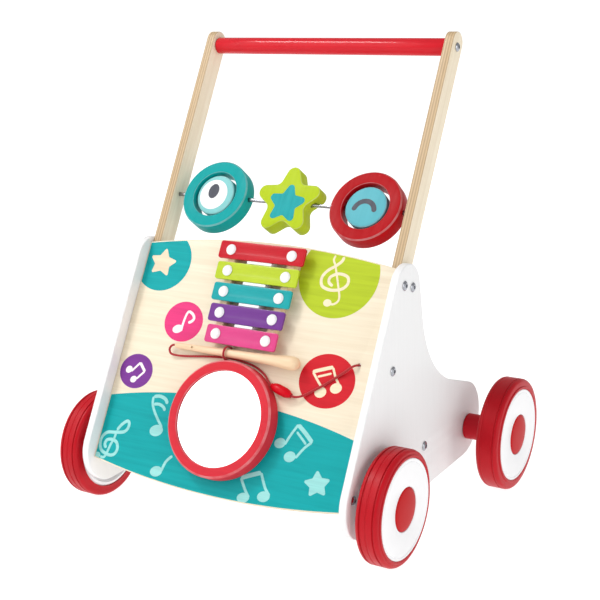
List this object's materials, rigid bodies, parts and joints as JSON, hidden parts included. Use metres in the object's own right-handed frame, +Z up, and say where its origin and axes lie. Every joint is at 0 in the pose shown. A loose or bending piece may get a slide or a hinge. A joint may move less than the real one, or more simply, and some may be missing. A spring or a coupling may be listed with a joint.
{
  "type": "baby push walker",
  "caption": "Wooden baby push walker with a leaning play panel, xylophone, mirror, spinning rings and star, push bar and rubber-tyred wheels.",
  "frame": {"origin": "centre of the walker's box at floor level", "axes": "+X across to the right of someone facing the play panel, -Y the way the walker is pushed, +Z up"},
  "size_m": [0.4378, 0.3355, 0.4823],
  "materials": {
    "birch_ply": "clear lacquer, plies showing at the edges",
    "beech": "clear lacquer",
    "white_painted_wood": "satin paint",
    "red_painted_wood": "gloss paint",
    "coral_painted_wood": "satin paint",
    "teal_painted_wood": "satin paint",
    "lime_painted_wood": "satin paint",
    "pale_teal_painted_wood": "satin paint",
    "red_painted_bar": "gloss enamel",
    "lime_painted_bar": "gloss enamel",
    "teal_painted_bar": "gloss enamel",
    "purple_painted_bar": "gloss enamel",
    "pink_painted_bar": "gloss enamel",
    "white_plastic": "moulded, satin gloss",
    "red_plastic": "moulded, gloss",
    "red_rubber": "moulded, satin, shallow tread grooves",
    "steel": "plated",
    "mirror": "polished",
    "red_cord": "twisted cotton"
  },
  "bodies": {
    "frame": {"side_panel_left": "white_painted_wood", "side_panel_right": "white_painted_wood", "play_panel": "birch_ply", "upper_batten": "birch_ply", "lower_batten": "birch_ply", "brace_dowel": "beech", "brace_bolt_left": "steel", "brace_bolt_right": "steel", "upright_left": "birch_ply", "upright_right": "birch_ply", "handle_bar": "red_painted_wood", "handle_screw_left": "steel", "handle_screw_right": "steel", "toy_rod": "steel", "xylophone_bar_red": "red_painted_bar", "xylophone_bar_lime": "lime_painted_bar", "xylophone_bar_teal": "teal_painted_bar", "xylophone_bar_purple": "purple_painted_bar", "xylophone_bar_pink": "pink_painted_bar", "pin_red_left": "white_plastic", "pin_red_right": "white_plastic", "pin_lime_left": "white_plastic", "pin_lime_right": "white_plastic", "pin_teal_left": "white_plastic", "pin_teal_right": "white_plastic", "pin_purple_left": "white_plastic", "pin_purple_right": "white_plastic", "pin_pink_left": "white_plastic", "pin_pink_right": "white_plastic", "xylophone_rail_left": "beech", "xylophone_rail_right": "beech", "xylophone_base": "white_plastic", "mallet_loop": "red_cord", "mallet_cord": "red_cord", "cord_bead": "red_plastic", "mirror_frame": "coral_painted_wood", "mirror_glass": "mirror", "front_axle": "steel", "rear_axle": "steel", "rear_spacer_left": "red_plastic", "rear_spacer_right": "red_plastic"},
    "wheel_front_left": {"tyre_front_left": "red_rubber", "wheel_disc_front_left": "white_plastic", "hub_cap_front_left": "red_plastic"},
    "wheel_front_right": {"tyre_front_right": "red_rubber", "wheel_disc_front_right": "white_plastic", "hub_cap_front_right": "red_plastic"},
    "wheel_rear_left": {"tyre_rear_left": "red_rubber", "wheel_disc_rear_left": "white_plastic", "hub_cap_rear_left": "red_plastic"},
    "wheel_rear_right": {"tyre_rear_right": "red_rubber", "wheel_disc_rear_right": "white_plastic", "hub_cap_rear_right": "red_plastic"},
    "teal_ring_spinner": {"teal_ring": "teal_painted_wood"},
    "eye_disc_spinner": {"eye_disc": "pale_teal_painted_wood"},
    "star_spinner": {"star": "lime_painted_wood"},
    "red_ring_spinner": {"red_ring": "red_painted_wood"},
    "wink_disc_spinner": {"wink_disc": "pale_teal_painted_wood"},
    "mallet_stick": {"mallet": "beech"}
  },
  "joints": [
    {"name": "wheel_front_left_roll", "type": "hinge", "parent": "frame", "child": "wheel_front_left", "pos_m": [-0.1784, -0.10916, 0.057], "axis": [1, 0, 0], "continuous": true},
    {"name": "wheel_front_right_roll", "type": "hinge", "parent": "frame", "child": "wheel_front_right", "pos_m": [0.1784, -0.10916, 0.057], "axis": [1, 0, 0], "continuous": true},
    {"name": "wheel_rear_left_roll", "type": "hinge", "parent": "frame", "child": "wheel_rear_left", "pos_m": [-0.2043, 0.10784, 0.06], "axis": [1, 0, 0], "continuous": true},
    {"name": "wheel_rear_right_roll", "type": "hinge", "parent": "frame", "child": "wheel_rear_right", "pos_m": [0.2043, 0.10784, 0.06], "axis": [1, 0, 0], "continuous": true},
    {"name": "teal_ring_spin", "type": "hinge", "parent": "frame", "child": "teal_ring_spinner", "pos_m": [-0.088, 0.00596, 0.31426], "axis": [1, 0, 0], "continuous": true},
    {"name": "eye_disc_spin", "type": "hinge", "parent": "frame", "child": "eye_disc_spinner", "pos_m": [-0.088, 0.00596, 0.31426], "axis": [1, 0, 0], "continuous": true},
    {"name": "star_spin", "type": "hinge", "parent": "frame", "child": "star_spinner", "pos_m": [0.003, 0.00596, 0.31426], "axis": [1, 0, 0], "continuous": true},
    {"name": "red_ring_spin", "type": "hinge", "parent": "frame", "child": "red_ring_spinner", "pos_m": [0.094, 0.00596, 0.31426], "axis": [1, 0, 0], "continuous": true},
    {"name": "wink_disc_spin", "type": "hinge", "parent": "frame", "child": "wink_disc_spinner", "pos_m": [0.094, 0.00596, 0.31426], "axis": [1, 0, 0], "continuous": true},
    {"name": "mallet_slide", "type": "slide", "parent": "frame", "child": "mallet_stick", "axis": [0.9995, -0.0285, 0.0164], "range_m": [0, 0.07]}
  ]
}
